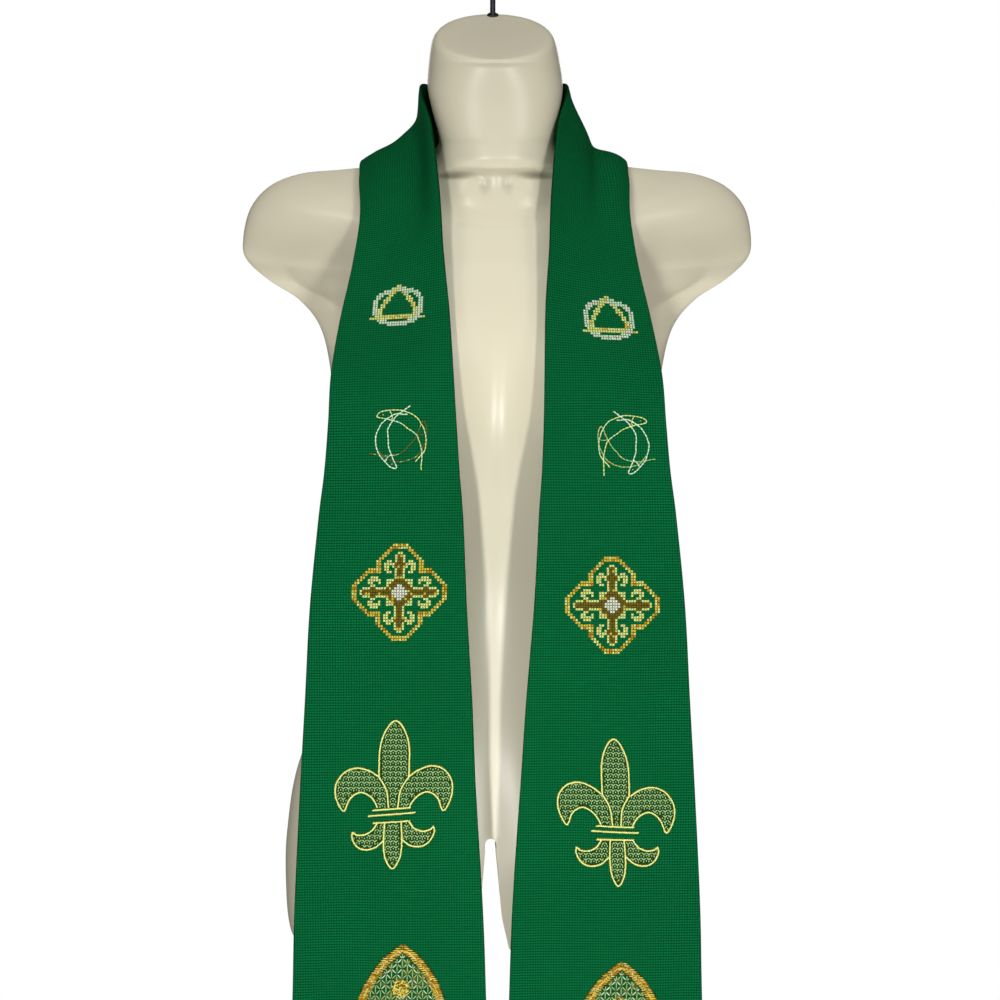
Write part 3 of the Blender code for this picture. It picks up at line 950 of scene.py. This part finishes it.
def trinityStitches():
    # the arch's sides are |x| = half (1 - (1 - fall / archFall)^power), the ring a superellipse, both two
    # blocks wide
    x, y = blockGrid(12)
    half, power = trinity["archHalf"], trinity["archPower"]
    left = np.clip(1 - (trinity["archTop"] - y) / trinity["archFall"], 0, 1)
    slope = half * power / trinity["archFall"] * left ** (power - 1)
    arch = (np.abs(np.abs(x) - half * (1 - left**power)) < np.hypot(1, slope)) & (y > -4)
    arch &= y < trinity["archTop"] + 1
    base = np.any([(y == level) & (np.abs(x) < wide) for level, wide in baseRows], axis=0)
    wide, tall, power = trinity["ring"]
    across, up = np.abs(x / wide), np.abs((y + trinity["ringDrop"]) / tall)
    level = (across**power + up**power) ** (1 / power)
    steep = np.hypot(across ** (power - 1) / wide, up ** (power - 1) / tall)
    ring = np.abs(level - 1) * level ** (power - 1) / np.maximum(steep, 1e-6) < 1.0
    goldOver = ((x < 0) & (y > 2)) | ((x > 0) & (y > -4) & (y < 3)) | ((x < 0) & base)
    gold = (arch | base) & (~ring | goldOver)
    white = ring & ~(gold & goldOver)
    return crossStitches(x, y, gold, yellow=6, gold=1) + crossStitches(x, y, white, pale=2, white=1)


# Three fishes in a ring, each drawn with one line

fishes = {
    "places": {-1: (5.4, 363.0), 1: (12.5, 367.0)},
    "turns": (0.0, -128.0, 133.0),
    "sizes": (1.0, 1.1, 0.98),
    "radii": (0.5, 0.44, 0.3),
    "rightRadius": 0.4,  # the least on the right half
    "mixes": ({"pale": 3, "white": 1}, {"yellow": 5, "pale": 3}, {"brown": 3, "mint": 1}),
    "rightMixes": ({"pale": 1, "yellow": 2}, {"mint": 4, "sand": 1, "gold": 1}),
    "mostStitches": 60,
    "step": 2.6,
    "rise": 0.42,
    "gillRise": 0.5,
    "gillThin": 0.9,  # radius of the gill's thread, for 1 of the body's
    "sink": -0.2,
    "eyeHalf": 0.4,
    "eye": {"radius": 0.3, "rise": 0.45},
}

# angle about the ring's middle in degrees, reach of the fish's middle line and half its height
fishRows = (
    (265, 20.2, 0),
    (254, 17.8, 2.6),
    (240, 15.4, 3.5),
    (215, 13.4, 4.1),
    (180, 12.3, 4.4),
    (140, 13.2, 2.8),
    (104, 15.6, 1.3),
    (92, 16.6, 0),
    (72, 20.4, -3.2),
)
# angle and reach along the gill, and of the eye
gillRows = ((238, 18.2), (236, 15.2), (243, 12))
eyeRow = ((253, 18),)


def fishStitches(side):
    # the back runs from the tail to the nose, the belly on from there to the tail, and they cross before it
    angle, reach, half = np.array(fishRows).T
    angle = np.concatenate([angle[::-1], angle[1:]])
    out = np.concatenate([(reach + half)[::-1], (reach - half)[1:]])
    body = pointsOf(angle, out)
    colors = [pickThreads(fishes["mostStitches"], **mix) for mix in fishes["mixes"]]
    if side > 0:
        colors[1:] = [pickThreads(fishes["mostStitches"], **mix) for mix in fishes["rightMixes"]]
    made = []
    for turn, size, radius, thread in zip(fishes["turns"], fishes["sizes"], fishes["radii"], colors):
        if side > 0:
            radius = max(radius, fishes["rightRadius"])

        def placed(rows):
            # the ring is drawn for the left half and turned over for the right one
            degrees, distance = np.array(rows).T
            way = np.radians(degrees + turn)
            return pointsOf(-side * np.cos(way), np.sin(way)) * distance[:, None] * size

        gillRadius = radius * fishes["gillThin"]
        for rows, thick, rise in ((body, radius, fishes["rise"]), (gillRows, gillRadius, fishes["gillRise"])):
            line = evenPoints(placed(rows), fishes["step"])
            made.append(lineStitches(line, thread, thick, rise, fishes["sink"]))
        eye = placed(eyeRow)
        half = [fishes["eyeHalf"], 0.0]
        made.append(stitches(eye - half, eye + half, colors=pickThreads(1, pale=1), **fishes["eye"]))
    return made


# Cross in a quatrefoil

quatrefoil = {"places": {-1: (8.0, 467.0), 1: (1.0, 476.0)}}
# blocks from the arm's middle line where a scroll starts and ends, by distance along the arm
scrollRows = ((7.5, 3, 5), (8.5, 4, 6), (9.5, 4, 6), (10.5, 3, 6), (11.5, 3, 5))


def quatrefoilStitches():
    # the four arms are alike both ways round, so low and high are the smaller and larger distance of a
    # block from the two middle lines
    x, y = blockGrid(18)
    low, high = np.minimum(np.abs(x), np.abs(y)), np.maximum(np.abs(x), np.abs(y))
    both = low + high
    white = both <= 3
    square = (high < 5) & ~white
    bulge = (high > 9) & (high < 11)
    armHalf = np.where(bulge, 2, 1)
    arm = (high > 5) & (high < 14)
    outline = (high > 16) & (both <= 20)
    outline |= (high > 11) & (high < 16) & (both > 18.5) & (both < 20.5)
    outline |= (low > 7) & (low < 9) & (high < 12)
    brown = (square & (both < 6.5)) | (arm & (low < armHalf))
    yellow = (square & (both > 6.5)) | (arm & (low > armHalf) & (low < armHalf + 1))
    yellow |= (high == 14.5) & (low < 1)
    for along, start, end in scrollRows:
        yellow |= (high == along) & (low > start) & (low < end)
    made = crossStitches(x, y, white, white=1)
    made += crossStitches(x, y, brown, brown=6, gold=1)
    made += crossStitches(x, y, yellow, yellow=1)
    return made + crossStitches(x, y, outline, gold=4, copper=1, yellow=1)


# Lily

lily = {
    "places": {-1: (4.3, 608.0), 1: (6.1, 621.0)},
    # how much each half slopes at its low and its high level; the upper one is the crown and the petals
    "upperSlopes": {-1: (0.008, 0.037), 1: (-0.085, -0.071)},
    "upperLevels": (-10.0, 19.0),
    "lowerSlopes": {-1: (0.08, 0.1), 1: (0.0, -0.05)},
    "lowerLevels": (-25.0, -14.0),
    "aside": {-1: (0.3, 0.02), 1: (0.6, -0.04)},  # shift, and how far the top leans over
    "slender": {-1: (1.02, 1.07), 1: (0.92, 0.92)},  # widths of the crown and the stem
    "ropeStep": 1.35,
    "rope": {"length": 2.1, "lean": 0.32, "radius": 0.56, "rise": 0.95},
    "shadow": {"radius": 1.2, "rise": 0.1, "sink": 0.02},
    "barShifts": (-1.4, -0.8, -1.0),  # of a bar's left end, middle and right end
    "edgeStep": 0.7,
    "curlFoot": 16,  # points of the stem's edge that close the curl
    "fillMargin": 0.7,
    "fillWander": 0.06,
    "uprightShare": 0.8,  # of the arches' height
    "shadeMargin": 0.8,
    "shadeHalf": 0.5,  # half of a ground stitch, in blocks
    "shadeRadius": 0.62,
}

# the right side of each edge, x and y from the middle; the left side is its mirror image
lilyEdges = {
    "crown": ((10, 12), (10.1, 20), (10, 30), (8.9, 37.5), (6.6, 44), (3.3, 49.2), (0, 51.3)),
    "stem": ((5.2, -19.6), (5.8, -30), (5.7, -37.5), (4.4, -45.5), (0, -52.4)),
    "neck": ((10, 12), (6.2, 6), (4.2, 0.5), (3.1, -9.6)),
    "petalOver": (
        (10, 12), (16.8, 16.6), (25.8, 18.9), (34.2, 16), (39.6, 8.5),
        (40.3, 0.5), (38.2, -6.6), (35.4, -11.4), (34, -12),
    ),
    "petalUnder": (
        (34, -12), (32.8, -9.8), (31, -4.6), (27.6, -0.6),
        (22.4, 1.4), (16.4, -1.3), (12.6, -5.8), (10.9, -9.6),
    ),
    "curlOver": ((11, -20), (14.2, -24.6), (19.8, -27.4), (25.2, -27), (28, -24.8)),
    "curlUnder": ((28, -24.8), (28.4, -29), (25, -35.2), (19.4, -38), (12, -36.8), (5.8, -31.6)),
}
# height and half-width of the bars
lilyBars = ((-10.3, 12.9), (-14.1, 16.1), (-19.5, 12.5))

# the filling over each two blocks, in blocks: an arch in two strokes, a short upright under it and one
# where arches meet; then the height and the radius along a stroke
archStrokes = (
    ((-1, -0.5), (-0.82, 0), (-0.48, 0.36), (0, 0.5)),
    ((0, 0.5), (0.48, 0.36), (0.82, 0), (1, -0.5)),
    ((0, -0.2), (0, -0.4), (0, -0.6), (0, -0.8)),
    ((1, -0.45), (1, -0.7), (1, -0.95), (1, -1.15)),
)
archHeights = np.array([-0.05, 0.42, 0.5, 0.12])
archRadii = np.array([0.34, 0.4, 0.4, 0.34])


def insideOf(outline, points, margin):
    # even-odd: a ray to the right of a point crosses the outline an odd number of times, and no point of the
    # outline is nearer than the margin
    x1, y1 = outline.T
    x2, y2 = np.roll(outline, -1, axis=0).T
    x, y = points[..., 0, None], points[..., 1, None]
    rise = np.where(y2 == y1, 1e-9, y2 - y1)
    crossed = ((y1 > y) != (y2 > y)) & (x < x1 + (y - y1) / rise * (x2 - x1))
    apart = np.hypot(x - x1, y - y1).min(axis=-1)
    return (crossed.sum(axis=-1) % 2 == 1) & (apart > margin)


def archFill(outline):
    # the strokes that lie wholly inside the outline; the uprights are lower than the arches
    spot = pointsOf(*grid(np.arange(-24, 26, 2.0), np.arange(-30, 30, 2.0)))[:, None] * block
    made = []
    low = archHeights * lily["uprightShare"]
    for stroke, height in zip(archStrokes, (archHeights, archHeights[::-1], low, low)):
        path = spot + np.array(stroke) * block
        path = path[insideOf(outline, path, lily["fillMargin"]).all(axis=1)]
        path = path + chance.normal(0, lily["fillWander"], (len(path), 1, 2))
        height, radius = (np.broadcast_to(part, path.shape[:2]) for part in (height, archRadii))
        made.append((path, height, radius, pickThreads(len(path), mint=1)))
    # painted shade: dark half stitches lie between the arches, where the gaps fall in shade
    middle = pointsOf(*blockGrid(32)) * block
    middle = middle[insideOf(outline, middle, lily["shadeMargin"])]
    reach = lily["shadeHalf"] * block
    made.append(shadeStitches(middle - reach, middle + reach, lily["shadeRadius"], moss=1))
    return made


def lilyStitches(side):
    shift, shear = lily["aside"][side]
    crown, stem = lily["slender"][side]
    mirror = np.array([-1.0, 1.0])

    def leaned(rows, half):
        # each half of the motif slopes a little, by its own amount at its low end and at its high end
        x, y = rows.T
        slope = np.interp(y, lily[half + "Levels"], lily[half + "Slopes"][side])
        return pointsOf(x + (shift + shear * y), y + slope * x)

    def bothSides(rows, skip=0):
        # the right side, then back along its mirror image
        return np.concatenate([rows, (rows * mirror)[::-1][skip:]])

    broad = {"crown": crown, "neck": crown, "stem": stem}
    edge = {name: np.array(rows) * [broad.get(name, 1.0), 1.0] for name, rows in lilyEdges.items()}
    fine = {name: evenPoints(rows, lily["edgeStep"]) for name, rows in edge.items()}
    petal = np.concatenate([fine["neck"][::-1], fine["petalOver"], fine["petalUnder"]])
    curl = np.concatenate([fine["stem"][: lily["curlFoot"]][::-1], fine["curlOver"], fine["curlUnder"]])
    body = np.concatenate([fine["neck"][::-1], fine["crown"]])
    shapes = [(bothSides(body), "upper"), (bothSides(fine["stem"]), "lower")]
    for flip in (1.0, mirror):
        shapes += [(petal * flip, "upper"), (curl * flip, "lower")]
    made = []
    for shape, half in shapes:
        made += archFill(leaned(shape, half))
    lines = [(bothSides(edge["crown"], 1), "upper"), (bothSides(edge["stem"], 1), "lower")]
    for half, names in (("upper", ("neck", "petalOver", "petalUnder")), ("lower", ("curlOver", "curlUnder"))):
        lines += [(edge[name] * flip, half) for name in names for flip in (1.0, mirror)]
    for level, reach in lilyBars:
        x = np.array([-reach, 0.0, reach]) + lily["barShifts"]
        lines.append((pointsOf(x, np.full(3, level)), "lower"))
    for line, half in lines:
        path = leaned(evenPoints(line, lily["ropeStep"]), half)
        # painted shadow: a broad dark line lies under the bright one and shows on both sides of it
        made.append(lineStitches(path, pickThreads(len(path), moss=3, brown=3), **lily["shadow"]))
        made.append(ropeStitches(path, pickThreads(len(path), yellow=1), **lily["rope"]))
    return made


# Pointed oval with a trellis and a knot

oval = {
    "places": {-1: (7.8, 790.0), 1: (8.8, 803.0)},
    "shear": 0.03,
    "halfHeight": 77.0,
    "halfWidth": 34.5,
    "powers": (2.5, 0.8),
    "border": 6.6,
    "satinStep": 1.45,
    "satinTip": 0.3,  # the first stitch stands this far above the foot
    "satinWander": 0.1,
    "satinTilt": 0.3,
    "outerEnds": (0.1, 1.2),  # how unevenly the satin stitches end, outside in mm and inside by share
    "innerEnds": (0.88, 1.04),
    "leastSplit": 0.1,
    "leastInner": 0.05,
    # shares of the border where its stitches meet, its braid runs, and the two kinds of strand end
    "split": 0.48,
    "braidAt": 0.46,
    "strandsTo": 0.62,
    "shadeTo": 0.4,
    "braidMix": {"sand": 5, "gold": 3, "copper": 3, "brown": 1},
    "braidTop": 72.5,
    "braidStep": 1.6,
    "braidLean": 0.8,
    "braid": {"length": 1.7, "radius": 0.44, "rise": 1.3},
    "strandWander": 0.06,
    "shadeLength": 5.5,
    "shadeRadius": 0.52,
    "knot": (-0.8, 45.5),
    "knotRadius": 6.3,
    "knotTall": 1.05,
    "knotDome": 1.7,
    "knotStrands": 130,
    "knotTurn": 2.4,
    "knotWander": 0.7,
    "knotHalf": 1.05,  # half of a strand
    "knotStitch": {"radius": 0.42, "rise": 0.6},
    # the near-black strands stand as painted shade among the bright ones
    "knotMix": {"gold": 5, "yellow": 2, "brown": 4, "moss": 1},
}

# border: shift upwards, shares of threads, radius, rise
satinRows = (
    (0.0, {"gold": 5, "sand": 2, "copper": 4}, 0.42, 0.75),
    # the dark row, partly brown thread and partly near-black green laid as painted shade between the bright
    # stitches
    (0.72, {"brown": 3, "moss": 3}, 0.55, 0.4),
)
# trellis: blocks from one node to the next, radius, rise, shares of threads
strandRows = (
    ((0.0, 4.0), 0.34, 0.3, {"mint": 1}),
    ((2.0, 2.0), 0.36, 0.5, {"pale": 1, "mint": 2}),
    ((2.0, -2.0), 0.36, 0.66, {"pale": 1, "mint": 2}),
)


def ovalEdge(y):
    # half the width, halfWidth (1 - (|y| / halfHeight)^2.5)^0.8, and the border's width measured level
    power, blunt = oval["powers"]
    part = np.clip(np.abs(y) / oval["halfHeight"], 0, 0.9999)
    left = 1 - part**power
    slope = oval["halfWidth"] * blunt * power / oval["halfHeight"] * part ** (power - 1) * left ** (blunt - 1)
    return oval["halfWidth"] * left**blunt, oval["border"] * np.minimum(np.hypot(1, slope), 3.0)


def insideOval(points, share):
    # farther in than that share of the border
    edge, wide = ovalEdge(points[:, 1])
    return np.abs(points[:, 0]) < edge - wide * share


def ovalBorder():
    # level satin stitches from the outside and from the inside, dark ones low between them as painted shade,
    # and a braid where they meet
    made = []
    reach = oval["halfHeight"] - oval["satinTip"]
    for start, shares, radius, rise in satinRows:
        y = np.arange(-reach + start, reach, oval["satinStep"])
        edge, wide = ovalEdge(y)
        for hand in (-1, 1):
            outer = edge + chance.uniform(*oval["outerEnds"], len(y))
            split = np.maximum(edge - wide * oval["split"], oval["leastSplit"])
            inner = edge - wide * chance.uniform(*oval["innerEnds"], len(y))
            for far in (outer, np.maximum(inner, oval["leastInner"])):
                level = y + chance.normal(0, oval["satinWander"], len(y))
                first = pointsOf(hand * far, level)
                last = pointsOf(hand * split, level + oval["satinTilt"])
                made.append(stitches(first, last, radius, rise, pickThreads(len(y), **shares)))
    y = np.linspace(-oval["halfHeight"] + 0.02, oval["halfHeight"] - 0.02, 90)
    edge, wide = ovalEdge(y)
    for hand in (-1, 1):
        x = hand * np.maximum(edge - wide * oval["braidAt"], 0.0)
        path = evenPoints(pointsOf(x, np.clip(y, -oval["braidTop"], oval["braidTop"])), oval["braidStep"])
        for lean in (-oval["braidLean"], oval["braidLean"]):
            colors = pickThreads(len(path), **oval["braidMix"])
            made.append(ropeStitches(path, colors, lean=lean, **oval["braid"]))
    return made


def ovalTrellis():
    # nodes stand on every second block both ways, every other one left out; strands join them across and
    # down, and run on under the border
    i, j = grid(np.arange(-12, 13), np.arange(-22, 23))
    node = pointsOf(i, j)[(i + j) % 2 == 0] * 2.0 * block
    made = []
    for step, radius, rise, colors in strandRows:
        end = node + np.array(step) * block
        middle = (node + end) / 2
        nodeIn, endIn, near = (insideOval(points, oval["strandsTo"]) for points in (node, end, middle))
        keep = nodeIn & endIn
        wander = chance.normal(0, oval["strandWander"], node.shape)
        strand = (node + wander)[keep], (end + wander)[keep]
        made.append(stitches(*strand, radius, rise, pickThreads(keep.sum(), **colors)))
        # half strands close the gaps beside the border
        for point, held in ((node, nodeIn), (end, endIn)):
            half = held & ~keep & near
            made.append(stitches(point[half], middle[half], radius, rise, pickThreads(half.sum(), **colors)))
    # painted shade: dark strands laid level under them, where the gaps fall in shade
    length = oval["shadeLength"]
    first = pointsOf(*grid(np.arange(-6, 6) * length, np.arange(-40, 41) * block[1]))
    last = first + [length, 0.0]
    held = insideOval(first, oval["shadeTo"]) & insideOval(last, oval["shadeTo"])
    made.append(shadeStitches(first[held], last[held], oval["shadeRadius"], moss=3, brown=2))
    return [part for part in made if len(part[0])]


def ovalKnot():
    # a low dome of short strands laid every way; they stand higher towards its middle
    count = oval["knotStrands"]
    out = oval["knotRadius"] * np.sqrt(np.linspace(0.0, 0.92, count))
    turn = np.arange(count) * oval["knotTurn"]
    centre = pointsOf(out * np.cos(turn), out * np.sin(turn) * oval["knotTall"]) + oval["knot"]
    way = turn + math.pi / 2 + chance.normal(0, oval["knotWander"], count)
    reach = pointsOf(np.cos(way), np.sin(way)) * oval["knotHalf"]
    colors = pickThreads(count, **oval["knotMix"])
    strands = stitches(centre - reach, centre + reach, colors=colors, **oval["knotStitch"])
    path, height, radius, colors = strands
    far = np.linalg.norm(path - oval["knot"], axis=-1) / oval["knotRadius"]
    return [(path, height + oval["knotDome"] * np.clip(1 - far**2, 0, 1), radius, colors)]


motifs = {-1: [], 1: []}
for side, hand in ((-1, "Left"), (1, "Right")):
    upright = {"slope": trinity["slopes"][side], "tall": trinity["talls"][side]}
    for name, table, sets, lean in (
        ("trinity", trinity, trinityStitches(), upright),
        ("fishes", fishes, fishStitches(side), {}),
        ("quatrefoil", quatrefoil, quatrefoilStitches(), {}),
        ("lily", lily, lilyStitches(side), {}),
        ("oval", oval, ovalBorder() + ovalTrellis() + ovalKnot(), {"shear": oval["shear"]}),
    ):
        motifs[side].append(workMotif(name + hand, side, table["places"][side], sets, **lean))
    count = sum(len(piece.data.polygons) for piece in motifs[side])
    print("needlework on the", hand.lower(), "half:", count, "faces")


# Stage, in metres

studio = {
    "target": (0.0, 0.0, -0.41),
    "distance": 1.8,
    "downTilt": 5.0,
    "turn": -1.2,
    "lens": 87.6,
    "shiftX": 0.0065,
    "floorDrop": -1.42,
    "floorRadius": 2.0,
    "floorSides": 96,
    "worldLight": 0.09,
}
# name, place, aim, size, power, spread in degrees
lights = (
    ("leftKey", (-0.5, -2.12, -0.5), (0.0, 0.0, -0.65), (0.12, 0.7), 2.05, 55.0),
    ("rightKey", (0.62, -2.1, -0.5), (0.0, 0.0, -0.68), (0.12, 0.7), 1.95, 55.0),
    ("topBox", (0.0, -0.3, 1.3), (0.0, 0.0, -0.1), (1.0, 1.0), 4.8, 180.0),
    ("leftRim", (-1.2, -1.2, 1.2), (0.0, 0.0, -0.3), (0.5, 0.8), 6.2, 180.0),
    ("rightRim", (1.2, -1.2, 1.2), (0.0, 0.0, -0.3), (0.5, 0.8), 6.2, 180.0),
    ("backBox", (0.0, 2.2, 0.1), (0.0, 0.0, -0.35), (1.4, 1.0), 12.0, 180.0),
)


def placeCamera():
    tilt, turn = math.radians(studio["downTilt"]), math.radians(studio["turn"])
    forward = (-math.sin(turn) * math.cos(tilt), math.cos(turn) * math.cos(tilt), -math.sin(tilt))
    data = bpy.data.cameras.new("camera")
    data.lens = studio["lens"]
    data.sensor_width = 36.0
    data.shift_x = studio["shiftX"]
    data.clip_start = 0.05
    made = addObject("camera", data)
    made.location = [at - studio["distance"] * way for at, way in zip(studio["target"], forward)]
    made.rotation_euler = (math.pi / 2 - tilt, 0.0, turn)
    bpy.context.scene.camera = made


def softLight(name, place, aim, size, power, spread):
    data = bpy.data.lights.new(name, "AREA")
    data.shape = "RECTANGLE"
    data.size, data.size_y = size
    data.energy = power
    data.spread = math.radians(spread)
    made = addObject(name, data)
    made.location = place
    made.rotation_euler = (Vector(place) - Vector(aim)).to_track_quat("Z", "Y").to_euler()


def whiteSurround():
    # a plain white surround that lights the part less than it shows
    world = bpy.data.worlds.new("surround")
    world.use_nodes = True
    tree = world.node_tree
    seen = tree.nodes.new("ShaderNodeLightPath").outputs["Is Camera Ray"]
    strength = rescale(tree, seen, 0.0, 1.0, studio["worldLight"], 1.0)
    fill(tree, tree.nodes["Background"], {"Color": (1.0, 1.0, 1.0, 1.0), "Strength": strength})
    bpy.context.scene.world = world


def paleRoundFloor():
    angle = circle(studio["floorSides"])
    rim = np.linspace(0.0, studio["floorRadius"], 6)[:, None] / mm
    rim[0] = 0.1  # a pinhole stands for the middle
    x, y = rim * np.cos(angle), rim * np.sin(angle)
    points = pointsOf(x, y, np.full(x.shape, studio["floorDrop"] / mm))
    return makeMesh("floor", points, loftFaces(*x.shape)[:, ::-1], [paleFloor()])


bpy.context.scene.view_settings.view_transform = "Standard"
placeCamera()
whiteSurround()
for light in lights:
    softLight(*light)
paleRoundFloor()

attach(torso, "root")
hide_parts("torso_form")
for piece in hookPieces:
    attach(piece, "root")
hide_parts("hook")
for side, node in ((-1, "stole_left"), (1, "stole_right")):
    piece = stoleHalves[side]
    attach(piece, "root")
    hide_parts(node)
    for work in motifs[side]:
        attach(work, "root")

print("stage set")
